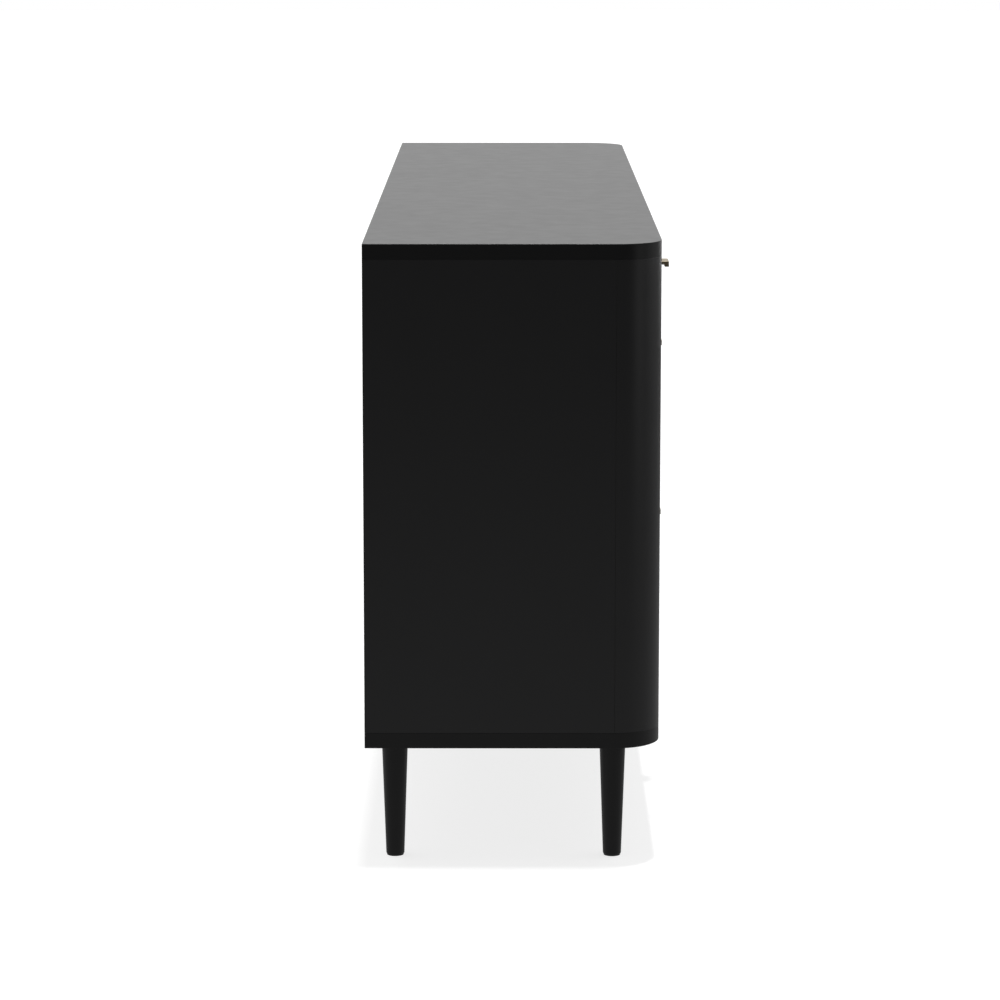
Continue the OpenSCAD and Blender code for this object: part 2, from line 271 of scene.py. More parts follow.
def brushed_brass(finish):
    """Champagne brass, brushed along its length and dulled with clear lacquer.

    The eye sees a muted grey gold, dull and soft, with fine streaks along the brushing.
    """
    material, tree, shader = new_material(
        "brushed_champagne_brass", Metallic=1.0, Coat_Weight=0.3, Coat_Roughness=0.35)
    place = add(tree, "ShaderNodeTexCoord").outputs["Object"]
    # scratches are 0.05 mm wide, drawn 0.6 mm wide so that they show
    along = add(tree, "ShaderNodeMapping", {"Vector": place, "Scale": (60, 1600, 1600)})
    scratch = add(tree, "ShaderNodeTexNoise", {"Vector": along, "Scale": 1.0, "Detail": 3.0})
    tarnish = add(tree, "ShaderNodeTexNoise", {"Vector": place, "Scale": 1 / (12 * MM), "Detail": 3.0})
    colour = add(tree, "ShaderNodeMix", {
        "Factor": add(tree, "ShaderNodeMapRange", {"Value": tarnish, "From Min": 0.3, "From Max": 0.7}),
        "A": finish.brass, "B": [c * 0.86 for c in finish.brass],
    }, data_type="RGBA")
    roughness = add(tree, "ShaderNodeMapRange", {
        "Value": scratch, "From Min": 0.3, "From Max": 0.7, "To Min": 0.44, "To Max": 0.56})
    bump = add(tree, "ShaderNodeBump", {"Height": scratch, "Strength": 0.8, "Distance": 0.012 * MM})
    feed(tree, shader, {"Base Color": colour, "Roughness": roughness, "Normal": bump})
    return material


def zinc_steel(finish):
    """Steel sheet and wire, rolled, pressed and bright zinc-plated.

    The eye sees a cool grey metal with faint drawing lines and a slightly blotched shine.
    """
    material, tree, shader = new_material("bright_zinc_plated_steel", Metallic=1.0)
    place = add(tree, "ShaderNodeTexCoord").outputs["Object"]
    blotch = add(tree, "ShaderNodeTexNoise", {"Vector": place, "Scale": 1 / (9 * MM), "Detail": 3.0})
    # drawing lines run along the slides; real ones are 0.1 mm, drawn 0.8 mm wide
    along = add(tree, "ShaderNodeMapping", {"Vector": place, "Scale": (1200, 18, 1200)})
    drawn = add(tree, "ShaderNodeTexNoise", {"Vector": along, "Scale": 1.0, "Detail": 2.0})
    colour = add(tree, "ShaderNodeMix", {
        "Factor": add(tree, "ShaderNodeMapRange", {"Value": blotch, "From Min": 0.3, "From Max": 0.7}),
        "A": finish.zinc, "B": [c * 0.82 for c in finish.zinc],
    }, data_type="RGBA")
    spread = add(tree, "ShaderNodeMath", {0: blotch, 1: drawn}, operation="ADD")
    roughness = add(tree, "ShaderNodeMapRange", {
        "Value": spread, "From Min": 0.7, "From Max": 1.3, "To Min": 0.26, "To Max": 0.42})
    bump = add(tree, "ShaderNodeBump", {"Height": drawn, "Strength": 0.5, "Distance": 0.01 * MM})
    feed(tree, shader, {"Base Color": colour, "Roughness": roughness, "Normal": bump})
    return material


def black_nylon(finish):
    """Black nylon, injection-moulded in a spark-eroded tool: dull, with a fine even grain."""
    material, tree, shader = new_material("moulded_black_nylon", IOR=1.53)
    place = add(tree, "ShaderNodeTexCoord").outputs["Object"]
    grain = add(tree, "ShaderNodeTexNoise", {"Vector": place, "Scale": 1 / (0.8 * MM), "Detail": 2.0})
    colour = add(tree, "ShaderNodeMix", {
        "Factor": grain, "A": finish.nylon, "B": [c * 1.5 for c in finish.nylon],
    }, data_type="RGBA")
    roughness = add(tree, "ShaderNodeMapRange", {"Value": grain, "To Min": 0.42, "To Max": 0.62})
    bump = add(tree, "ShaderNodeBump", {"Height": grain, "Strength": 0.8, "Distance": 0.03 * MM})
    feed(tree, shader, {"Base Color": colour, "Roughness": roughness, "Normal": bump})
    return material


# the record's slot names, and how each finish is made; a slot's second finish follows a slash
FINISHES = {
    "black_lacquer": panel_lacquer,
    "black_lacquer/deep": slab_lacquer,
    "birch_ply": birch_ply,
    "beech_dowel": beech_dowel,
    "back_board": back_board,
    "brass": brushed_brass,
    "zinc_steel": zinc_steel,
    "glide_plastic": black_nylon,
}
made_materials = {}


def material_for(finish):
    """The material of a finish, made when it is first asked for."""
    if finish not in made_materials:
        made_materials[finish] = FINISHES[finish](bpy.context.scene.dresser_finish)
    return made_materials[finish]


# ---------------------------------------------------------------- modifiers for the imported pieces


def new_modifier_tree(name):
    """An empty geometry node tree that takes and gives geometry."""
    tree = bpy.data.node_groups.new(name, "GeometryNodeTree")
    tree.interface.new_socket("Geometry", in_out="INPUT", socket_type="NodeSocketGeometry")
    tree.interface.new_socket("Geometry", in_out="OUTPUT", socket_type="NodeSocketGeometry")
    return tree


def arris_tree(shortest):
    """Shades smoothly but for real edges, and marks the long, sharp ones for the bevel."""
    tree = new_modifier_tree(f"mark_arrises_{shortest / MM:.1f}_mm")
    source = add(tree, "NodeGroupInput")
    turn = add(tree, "GeometryNodeInputMeshEdgeAngle").outputs["Unsigned Angle"]
    sharp = add(tree, "FunctionNodeCompare", {
        "A": turn, "B": math.radians(30)}, data_type="FLOAT", operation="GREATER_THAN")
    shaded = add(tree, "GeometryNodeSetMeshNormal", {
        "Mesh": source, "Remove Custom": True, "Edge Sharpness": sharp}, mode="SHARPNESS")
    ends = add(tree, "GeometryNodeInputMeshEdgeVertices")
    length = add(tree, "ShaderNodeVectorMath", {
        0: ends.outputs["Position 1"], 1: ends.outputs["Position 2"]}, operation="DISTANCE")
    steep = add(tree, "FunctionNodeCompare", {
        "A": turn, "B": math.radians(35)}, data_type="FLOAT", operation="GREATER_THAN")
    long = add(tree, "FunctionNodeCompare", {
        "A": length.outputs["Value"], "B": shortest}, data_type="FLOAT", operation="GREATER_THAN")
    both = add(tree, "FunctionNodeBooleanMath", {0: steep, 1: long}, operation="AND")
    marked = add(tree, "GeometryNodeStoreNamedAttribute", {
        "Geometry": shaded, "Name": "bevel_weight_edge", "Value": both,
    }, data_type="FLOAT", domain="EDGE")
    add(tree, "NodeGroupOutput", {"Geometry": marked})
    return tree


def board_tree():
    """Gives every board of a piece its own coordinates: along, across and through it.

    Each board starts at its own place in the pattern. board_edge is 1 on the sawn edges.
    """
    tree = new_modifier_tree("board_coordinates")
    source = add(tree, "NodeGroupInput")
    place = add(tree, "GeometryNodeInputPosition")
    island = add(tree, "GeometryNodeInputMeshIsland").outputs["Island Index"]
    span = add(tree, "GeometryNodeFieldMinAndMax", {
        "Value": place, "Group ID": island}, data_type="FLOAT_VECTOR", domain="POINT")
    size = add(tree, "ShaderNodeVectorMath", {
        0: span.outputs["Max"], 1: span.outputs["Min"]}, operation="SUBTRACT")
    total = add(tree, "ShaderNodeVectorMath", {
        0: span.outputs["Max"], 1: span.outputs["Min"]}, operation="ADD")
    middle = add(tree, "ShaderNodeVectorMath", {0: total, "Scale": 0.5}, operation="SCALE")
    local = add(tree, "ShaderNodeVectorMath", {0: place, 1: middle}, operation="SUBTRACT")
    sizes = add(tree, "ShaderNodeSeparateXYZ", {"Vector": size})
    picks = {}
    choices = (("along", "MAXIMUM", "GREATER_EQUAL"), ("through", "MINIMUM", "LESS_EQUAL"))
    for name, operation, test in choices:
        two = add(tree, "ShaderNodeMath", {
            0: sizes.outputs["X"], 1: sizes.outputs["Y"]}, operation=operation)
        extreme = add(tree, "ShaderNodeMath", {0: two, 1: sizes.outputs["Z"]}, operation=operation)
        found = {
            axis: add(tree, "FunctionNodeCompare", {
                "A": sizes.outputs[axis], "B": extreme}, data_type="FLOAT", operation=test)
            for axis in "XYZ"
        }
        picks[name] = add(tree, "ShaderNodeCombineXYZ", found)
    taken = add(tree, "ShaderNodeVectorMath", {0: picks["along"], 1: picks["through"]}, operation="ADD")
    picks["across"] = add(tree, "ShaderNodeVectorMath", {0: (1, 1, 1), 1: taken}, operation="SUBTRACT")
    parts = {
        axis: add(tree, "ShaderNodeVectorMath", {0: local, 1: picks[name]}, operation="DOT_PRODUCT")
        for axis, name in (("X", "along"), ("Y", "across"), ("Z", "through"))
    }
    own = add(tree, "ShaderNodeCombineXYZ", {axis: part.outputs["Value"] for axis, part in parts.items()})
    start = add(tree, "FunctionNodeRandomValue", {
        "Min": (0, 0, 0), "Max": (9, 9, 0), "ID": island, "Seed": 4}, data_type="FLOAT_VECTOR")
    moved = add(tree, "ShaderNodeVectorMath", {0: own, 1: start}, operation="ADD")
    placed = add(tree, "GeometryNodeStoreNamedAttribute", {
        "Geometry": source, "Name": "board_place", "Value": moved,
    }, data_type="FLOAT_VECTOR", domain="POINT")
    facing = add(tree, "ShaderNodeVectorMath", {
        0: add(tree, "GeometryNodeInputNormal"), 1: picks["through"]}, operation="DOT_PRODUCT")
    flat = add(tree, "ShaderNodeMath", {0: facing.outputs["Value"]}, operation="ABSOLUTE")
    edge = add(tree, "FunctionNodeCompare", {
        "A": flat, "B": 0.5}, data_type="FLOAT", operation="LESS_THAN")
    edged = add(tree, "GeometryNodeStoreNamedAttribute", {
        "Geometry": placed, "Name": "board_edge", "Value": edge,
    }, data_type="FLOAT", domain="FACE")
    add(tree, "NodeGroupOutput", {"Geometry": edged})
    return tree


made_trees = {}


def tree_for(key, make, *values):
    """The node tree of that key, made when it is first asked for."""
    if key not in made_trees:
        made_trees[key] = make(*values)
    return made_trees[key]


def ease(piece, radius, shortest=1.2 * MM):
    """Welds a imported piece, merges its flat facets and rounds its long edges to a radius."""
    weld = piece.modifiers.new("weld", "WELD")
    weld.merge_threshold = 0.01 * MM
    flat = piece.modifiers.new("merge_flat_facets", "DECIMATE")
    flat.decimate_type = "DISSOLVE"
    flat.angle_limit = math.radians(0.5)
    arris = piece.modifiers.new("mark_arrises", "NODES")
    arris.node_group = tree_for(("arris", shortest), arris_tree, shortest)
    if radius:
        bevel = piece.modifiers.new("ease_arrises", "BEVEL")
        bevel.limit_method = "WEIGHT"
        bevel.width = radius
        bevel.segments = 3
        bevel.harden_normals = True
        bevel.use_clamp_overlap = False
        bevel.loop_slide = False


def finish_node(name, finish, radius=0.0, boards=False):
    """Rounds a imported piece's edges and gives it a finish."""
    piece = frame["nodes"][name]
    ease(piece, radius)
    if boards:
        grain = piece.modifiers.new("board_coordinates", "NODES")
        grain.node_group = tree_for("boards", board_tree)
    for holder in piece.material_slots:
        holder.material = material_for(finish)
    return piece


# ---------------------------------------------------------------- meshes for the added pieces


def mesh_from(bm, name):
    """Turns a bmesh into a mesh and frees it."""
    mesh = bpy.data.meshes.new(name)
    bm.to_mesh(mesh)
    bm.free()
    return mesh


def new_object(name, data):
    """An object with that data, in the scene."""
    item = bpy.data.objects.new(name, data)
    bpy.context.scene.collection.objects.link(item)
    return item


def piece_from(bm, name, slot, body):
    """Turns a bmesh into a piece that rides on a body and has the finish of a slot."""
    bmesh.ops.recalc_face_normals(bm, faces=bm.faces)
    mesh = mesh_from(bm, name)
    mesh.shade_smooth()
    mesh.set_sharp_from_angle(angle=math.radians(35))
    mesh.materials.append(material_for(slot))
    piece = new_object(name, mesh)
    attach(piece, body)
    return piece


def lathe(profile, steps=24):
    """A closed solid turned about Z, from (radius, height) points that start and end on the axis."""
    bm = bmesh.new()
    rings = []
    for radius, height in profile:
        if radius == 0:
            rings.append([bm.verts.new((0, 0, height))])
            continue
        angles = [2 * math.pi * i / steps for i in range(steps)]
        rings.append([bm.verts.new((radius * math.cos(a), radius * math.sin(a), height)) for a in angles])
    for low, high in zip(rings, rings[1:]):
        for i in range(steps):
            corners = [low[i % len(low)], low[(i + 1) % len(low)],
                       high[(i + 1) % len(high)], high[i % len(high)]]
            bm.faces.new(list(dict.fromkeys(corners)))
    bmesh.ops.recalc_face_normals(bm, faces=bm.faces)
    return bm


def box_between(bm, low, high, taper=1.0):
    """Adds a box between two corners; taper narrows its lower end."""
    corners = []
    middle = (Vector(low) + Vector(high)) / 2
    for z, scale in ((low[2], taper), (high[2], 1.0)):
        for x, y in ((low[0], low[1]), (high[0], low[1]), (high[0], high[1]), (low[0], high[1])):
            place = (middle.x + (x - middle.x) * scale, middle.y + (y - middle.y) * scale, z)
            corners.append(bm.verts.new(place))
    for a in ((3, 2, 1, 0), (4, 5, 6, 7), (0, 1, 5, 4), (1, 2, 6, 5), (2, 3, 7, 6), (3, 0, 4, 7)):
        bm.faces.new([corners[i] for i in a])


def arc_points(centre, radius, first, last, steps):
    """Points round part of a circle, in degrees, both ends included."""
    turns = [math.radians(first + (last - first) * i / steps) for i in range(steps + 1)]
    return [(centre[0] + radius * math.cos(t), centre[1] + radius * math.sin(t)) for t in turns]


def screw_mesh(name, head_d, head_h, shank_d, length):
    """A cross-recessed pan-head screw: head above z = 0, shank below it, with its thread as rings."""
    head_r = head_d / 2
    shank_r = shank_d / 2
    crown = head_h * 0.55
    pitch = shank_d * 0.28
    thread = []
    z = -length + shank_r * 1.4
    while z < -pitch:
        thread += [(shank_r * 0.82, z), (shank_r, z + pitch / 2)]
        z += pitch
    profile = [(0, -length), *thread, (shank_r * 0.82, 0), (head_r, 0), (head_r, head_h - crown)]
    profile += [(head_r * math.cos(math.radians(a)), head_h - crown + crown * math.sin(math.radians(a)))
                for a in (25, 45, 62, 78)]
    profile.append((0, head_h))
    cutter = bmesh.new()
    reach = head_r * 0.62
    arm = head_r * 0.17
    for low, high in (((-reach, -arm), (reach, arm)), ((-arm, -reach), (arm, reach))):
        box_between(cutter, (*low, head_h * 0.3), (*high, head_h * 1.5), taper=0.55)
    solid = new_object(name, mesh_from(lathe(profile), name))
    tool = new_object(name + "_recess", mesh_from(cutter, name + "_recess"))
    cut = solid.modifiers.new("recess", "BOOLEAN")
    cut.object = tool
    cut.operation = "DIFFERENCE"
    cut.use_self = True
    ready = solid.evaluated_get(bpy.context.evaluated_depsgraph_get())
    mesh = bpy.data.meshes.new_from_object(ready)
    for item in (solid, tool):
        bpy.data.objects.remove(item)
    return mesh


def facing(place, direction, turn=0.0):
    """The matrix that stands a piece modelled along +Z at a place, facing a direction."""
    stand = direction.to_track_quat("Z", "Y").to_matrix().to_4x4()
    return Matrix.Translation(place) @ stand @ Matrix.Rotation(turn, 4, "Z")


def stamp(bm, mesh, matrices):
    """Adds a copy of a mesh at each matrix."""
    for matrix in matrices:
        before = len(bm.verts)
        bm.from_mesh(mesh)
        bm.verts.ensure_lookup_table()
        bmesh.ops.transform(bm, matrix=matrix, verts=bm.verts[before:])


def turned_apart(places, direction):
    """Matrices for screws that face one way, each turned by another angle."""
    return [facing(Vector(p), direction, i * GOLDEN_TURN) for i, p in enumerate(places)]


def spread(low, high, count):
    """That many values from low to high, both included."""
    return [low + (high - low) * i / (count - 1) for i in range(count)]


def side_of(drawer):
    """-1 for a drawer in the left half of the case and 1 for one in the right half."""
    low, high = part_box(drawer + "_front")
    return 1 if low.x + high.x > 0 else -1


# ---------------------------------------------------------------- settings


def colour_setting(name, hex_colour, description):
    """A colour, given in sRGB hex."""
    return FloatVectorProperty(
        name=name, description=description, subtype="COLOR", min=0, max=1, default=linear(hex_colour))


def length_setting(name, default, description):
    """A length in metres, which may be set from a quarter to four times its default."""
    return FloatProperty(
        name=name, description=description, unit="LENGTH",
        min=default / 4, max=default * 4, default=default)


class DresserFinish(bpy.types.PropertyGroup):
    lacquer: colour_setting(
        "Lacquer", "#1c1c1d", "Colour of the satin lacquer on the upright boards and fronts")
    deep_lacquer: colour_setting(
        "Deep lacquer", "#0c0c0d", "Colour of the deeper lacquer on the slabs and legs")
    lacquer_roughness: FloatProperty(
        name="Lacquer roughness", description="How dull the satin lacquer is",
        subtype="FACTOR", min=0.1, max=0.9, default=0.35)
    birch: colour_setting("Birch", "#d9bd92", "Ground colour of the plywood drawer boxes")
    birch_figure: colour_setting(
        "Birch figure", "#c4a274", "Colour of the darker bands in the plywood")
    beech: colour_setting("Beech", "#c39a6b", "Colour of the dowels")
    back: colour_setting("Back board", "#1d1b1a", "Colour of the painted back panels")
    brass: colour_setting("Brass", "#a4967c", "Colour of the pulls")
    zinc: colour_setting("Zinc plate", "#c6c9cc", "Colour of the slides and screws")
    nylon: colour_setting("Nylon", "#101011", "Colour of the glides, stops and levers")


class DresserSizes(bpy.types.PropertyGroup):
    case_arris: length_setting(
        "Case arris", 1.0 * MM, "Radius of the eased edges of the lacquered boards")
    joint_arris: length_setting(
        "Joint arris", 0.3 * MM, "Radius of the edges where slabs, end panels and corner posts meet")
    box_arris: length_setting(
        "Box arris", 0.8 * MM, "Radius of the sanded edges of the drawer boxes")
    pull_arris: length_setting("Pull arris", 0.4 * MM, "Radius of the broken edges of the pulls")
    steel_arris: length_setting(
        "Steel arris", 0.25 * MM, "Radius of the deburred edges of the slides")
    screw_head_d: length_setting("Screw head", 6.0 * MM, "Diameter of the heads of the wood screws")
    back_screw_pitch: length_setting(
        "Back screw pitch", 150 * MM, "Greatest distance between two screws along a back panel's edge")
    slide_screws: IntProperty(
        name="Screws in a slide", description="Number of screws that hold each slide member",
        min=2, max=6, default=3)


class DresserStage(bpy.types.PropertyGroup):
    floor: FloatVectorProperty(
        name="Floor", description="Colour of the studio floor",
        subtype="COLOR", min=0, max=1, default=(0.36, 0.36, 0.36))
    floor_glow: FloatProperty(
        name="Floor glow", description="Light that the floor shows the camera by itself",
        min=0, max=1, default=0.77)
    lens: FloatProperty(
        name="Lens", description="Focal length of the camera on a 36 mm wide sensor, in millimetres",
        min=20, max=300, default=125.34)


# ---------------------------------------------------------------- operators


class DRESSER_OT_case(bpy.types.Operator):
    """Finish the slabs, end panels, corner posts, shelves, dividers and back"""

    bl_idname = "dresser.case"
    bl_label = "Finish the case"

    def execute(self, context):
        sizes = context.scene.dresser_sizes
        for name in ("top_panel", "bottom_panel"):
            finish_node(name, "black_lacquer/deep", sizes.joint_arris)
        for name in ("side_panel_left", "side_panel_right", "corner_post_left", "corner_post_right"):
            finish_node(name, "black_lacquer", sizes.joint_arris)
        for name in ("runner_boards", "centre_divider", "dust_shelves", "short_dividers"):
            finish_node(name, "black_lacquer", sizes.case_arris)
        finish_node("back_panels", "back_board", sizes.steel_arris)
        finish_node("panel_dowels", "beech_dowel")
        finish_node("case_runners", "zinc_steel", sizes.steel_arris)
        return {"FINISHED"}


class DRESSER_OT_legs(bpy.types.Operator):
    """Finish the turned legs, their fixings and their glides"""

    bl_idname = "dresser.legs"
    bl_label = "Finish the legs"

    def execute(self, context):
        for row in ("front", "rear"):
            for side in ("left", "right"):
                finish_node(f"leg_{row}_{side}", "black_lacquer/deep")
        for name in ("leg_bolts", "leg_inserts"):
            finish_node(name, "zinc_steel")
        finish_node("foot_glides", "glide_plastic")
        return {"FINISHED"}


class DRESSER_OT_drawers(bpy.types.Operator):
    """Finish the fronts, boxes, floors, pulls and slides of the drawers"""

    bl_idname = "dresser.drawers"
    bl_label = "Finish the drawers"

    def execute(self, context):
        sizes = context.scene.dresser_sizes
        for drawer in DRAWERS:
            finish_node(drawer + "_front", "black_lacquer", sizes.case_arris)
            finish_node(drawer + "_box", "birch_ply", sizes.box_arris, boards=True)
            finish_node(drawer + "_floor", "birch_ply", boards=True)
            finish_node(drawer + "_pull", "brass", sizes.pull_arris)
            finish_node(drawer + "_runners", "zinc_steel", sizes.steel_arris)
        return {"FINISHED"}


class DRESSER_OT_back_screws(bpy.types.Operator):
    """Screw the back panels to the slabs, end panels, shelves and divider"""

    bl_idname = "dresser.back_screws"
    bl_label = "Back screws"

    def execute(self, context):
        sizes = context.scene.dresser_sizes
        low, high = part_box("back_panels")
        shelf_low, shelf_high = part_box("dust_shelves")
        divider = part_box("centre_divider")[1].x
        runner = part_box("runner_boards")[1].x - 8 * MM
        from_column = 60 * MM
        from_row = 40 * MM
        in_rabbet = BACK_LAP / 2
        ends = high.x - in_rabbet
        rows = (low.z + in_rabbet, (shelf_low.z + shelf_high.z) / 2, high.z - in_rabbet)
        across = max(2, math.ceil((ends - divider) / sizes.back_screw_pitch) + 1)
        upright = max(2, math.ceil((rows[2] - rows[0]) / sizes.back_screw_pitch) + 1)
        places = []
        for z in spread(rows[0] + from_row, rows[2] - from_row, upright):
            places += [Vector((x, high.y, z)) for x in (divider / 2, runner, ends)]
        for x in spread(divider + from_column, runner - from_column, across):
            places += [Vector((x, high.y, z)) for z in rows]
        places += [Vector((-place.x, place.y, place.z)) for place in places]
        screw = screw_mesh(
            "back_screw", head_d=sizes.screw_head_d, head_h=2.2 * MM, shank_d=3.5 * MM, length=20 * MM)
        bm = bmesh.new()
        stamp(bm, screw, turned_apart(places, BACKWARD))
        piece_from(bm, "back_panel_screws", "zinc_steel", CASE)
        return {"FINISHED"}


class DRESSER_OT_pull_screws(bpy.types.Operator):
    """Put the two machine screws and washers behind each pull"""

    bl_idname = "dresser.pull_screws"
    bl_label = "Pull screws"

    def execute(self, context):
        half_pitch = PULL_SCREW_PITCH / 2
        into_pull = 11 * MM
        washer_t = 0.6 * MM
        washer_r = 3.5 * MM
        rim = washer_t * 0.2
        outline = [(0, 0), (washer_r - rim, 0), (washer_r, rim), (washer_r, washer_t - rim),
                   (washer_r - rim, washer_t), (0, washer_t)]
        washer = mesh_from(lathe(outline), "washer")
        for drawer in DRAWERS:
            pull_low, pull_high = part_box(drawer + "_pull")
            front_low, front_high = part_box(drawer + "_front")
            length = front_high.y - front_low.y + into_pull
            screw = screw_mesh(
                "machine_screw", head_d=5.6 * MM, head_h=2.2 * MM, shank_d=2.9 * MM, length=length)
            middle = (pull_low.x + pull_high.x) / 2
            level = pull_high.z - PULL_TAB_T / 2
            seats = [(middle + side * half_pitch, front_high.y, level) for side in SIDES]
            bm = bmesh.new()
            stamp(bm, washer, turned_apart(seats, BACKWARD))
            heads = [(x, y + washer_t, z) for x, y, z in seats]
            stamp(bm, screw, turned_apart(heads, BACKWARD))
            piece_from(bm, drawer + "_pull_screws", "zinc_steel", drawer)
        return {"FINISHED"}


class DRESSER_OT_front_screws(bpy.types.Operator):
    """Screw each front to its box from inside the drawer"""

    bl_idname = "dresser.front_screws"
    bl_label = "Front screws"

    def execute(self, context):
        sizes = context.scene.dresser_sizes
        from_end = 55 * MM
        from_edge = 16 * MM
        wide_box = 0.5
        screw = screw_mesh(
            "front_screw", head_d=sizes.screw_head_d, head_h=2.2 * MM, shank_d=3.5 * MM, length=25 * MM)
        for drawer in DRAWERS:
            low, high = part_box(drawer + "_box")
            floor_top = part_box(drawer + "_floor")[1].z
            count = 2 if high.x - low.x < wide_box else 4
            levels = (floor_top + from_edge, high.z - from_edge)
            places = [(x, low.y + BOX_BOARD_T, z)
                      for x in spread(low.x + from_end, high.x - from_end, count) for z in levels]
            bm = bmesh.new()
            stamp(bm, screw, turned_apart(places, BACKWARD))
            piece_from(bm, drawer + "_front_screws", "zinc_steel", drawer)
        return {"FINISHED"}


def slide_ends(drawer):
    """For both slides of a drawer: the side it is on, the x of the box and the x of the case."""
    low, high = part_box(drawer + "_box")
    return ((-1, low.x, low.x - SLIDE_GAP), (1, high.x, high.x + SLIDE_GAP))


class DRESSER_OT_slide_screws(bpy.types.Operator):
    """Screw both members of every slide to the case and to the drawer box"""

    bl_idname = "dresser.slide_screws"
    bl_label = "Slide screws"

    def execute(self, context):
        from_front = 28 * MM
        from_rear = 34 * MM
        box_hole_back = 18 * MM  # the drawer member's holes lie that far behind the case member's
        count = context.scene.dresser_sizes.slide_screws
        screw = screw_mesh(
            "slide_screw", head_d=6.2 * MM, head_h=1.5 * MM, shank_d=3.2 * MM, length=9 * MM)
        to_case = bmesh.new()
        for drawer in DRAWERS:
            low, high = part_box(drawer + "_runners")
            level = (low.z + high.z) / 2
            to_box = bmesh.new()
            for side, box_x, case_x in slide_ends(drawer):
                along = spread(low.y + from_front, high.y - from_rear, count)
                inward = Vector((-side, 0, 0))
                case_places = [(case_x - side * SLIDE_SHEET_T, y, level) for y in along]
                stamp(to_case, screw, turned_apart(case_places, inward))
                box_places = [(box_x + side * SLIDE_SHEET_T, y + box_hole_back, level) for y in along]
                stamp(to_box, screw, turned_apart(box_places, -inward))
            piece_from(to_box, drawer + "_slide_screws", "zinc_steel", drawer)
        piece_from(to_case, "case_slide_screws", "zinc_steel", CASE)
        return {"FINISHED"}


class DRESSER_OT_slide_stops(bpy.types.Operator):
    """Clip a moulded stop on the rear end of every case member"""

    bl_idname = "dresser.slide_stops"
    bl_label = "Slide stops"

    def execute(self, context):
        plate_t = 3.6 * MM
        near = 1.6 * MM
        far = 11.2 * MM
        half_h = 16.2 * MM
        arm_t = 1.6 * MM
        arm_l = 9 * MM
        arm_root = 0.2 * MM
        corner = 3 * MM
        rim = 1.4 * MM
        dish = 1.2 * MM
        centres = (
            (far - corner, half_h - corner), (near + corner, half_h - corner),
            (near + corner, corner - half_h), (far - corner, corner - half_h),
        )
        outline = []
        for quarter, centre in enumerate(centres):
            outline += arc_points(centre, corner, quarter * 90, quarter * 90 + 90, 5)
        bm = bmesh.new()
        for drawer in DRAWERS:
            low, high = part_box(drawer + "_runners")
            level = (low.z + high.z) / 2
            for side, _, case_x in slide_ends(drawer):
                plate = bmesh.new()
                face = plate.faces.new([plate.verts.new((u, 0, w)) for u, w in outline])
                pulled = bmesh.ops.extrude_face_region(plate, geom=[face])["geom"]
                verts = [v for v in pulled if isinstance(v, bmesh.types.BMVert)]
                bmesh.ops.translate(plate, vec=(0, plate_t, 0), verts=verts)
                rear = next(f for f in pulled if isinstance(f, bmesh.types.BMFace))
                bmesh.ops.inset_individual(plate, faces=[rear], thickness=rim, depth=-dish)
                for up in SIDES:
                    arm = sorted((up * (half_h - arm_t), up * half_h))
                    box_between(
                        plate, (near + corner, -arm_l, arm[0]), (far - corner, arm_root, arm[1]))
                bmesh.ops.transform(plate, verts=plate.verts, matrix=Matrix(
                    ((-side, 0, 0, case_x), (0, 1, 0, high.y), (0, 0, 1, level), (0, 0, 0, 1))))
                bm.from_mesh(mesh_from(plate, "stop"))
        piece_from(bm, "slide_end_stops", "glide_plastic", CASE)
        return {"FINISHED"}


class DRESSER_OT_slide_levers(bpy.types.Operator):
    """Fit the release lever on every drawer member"""

    bl_idname = "dresser.slide_levers"
    bl_label = "Slide levers"

    def execute(self, context):
        thick = 1.3 * MM
        half_w = 2.4 * MM
        length = 52 * MM
        drop = 7 * MM
        behind_middle = 32 * MM
        steps = 16
        for drawer in DRAWERS:
            low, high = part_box(drawer + "_runners")
            level = (low.z + high.z) / 2
            start = (low.y + high.y) / 2 + behind_middle
            bm = bmesh.new()
            for side, box_x, _ in slide_ends(drawer):
                root = box_x + side * SLIDE_SHEET_T
                rings = []
                for i in range(steps + 1):
                    t = i / steps
                    bend = t * t * (3 - 2 * t)
                    half = half_w * (1.25 - 0.45 * math.sin(math.pi * t))
                    z = level + drop / 2 - drop * bend
                    rings.append([bm.verts.new((root + side * out, start + length * t, z + up * half))
                                  for out, up in ((0, -1), (thick, -0.8), (thick, 0.8), (0, 1))])
                for a, b in zip(rings, rings[1:]):
                    for i in range(4):
                        bm.faces.new([a[i], a[(i + 1) % 4], b[(i + 1) % 4], b[i]])
                bm.faces.new(rings[0])
                bm.faces.new(rings[-1])
            piece_from(bm, drawer + "_slide_levers", "glide_plastic", drawer)
        return {"FINISHED"}


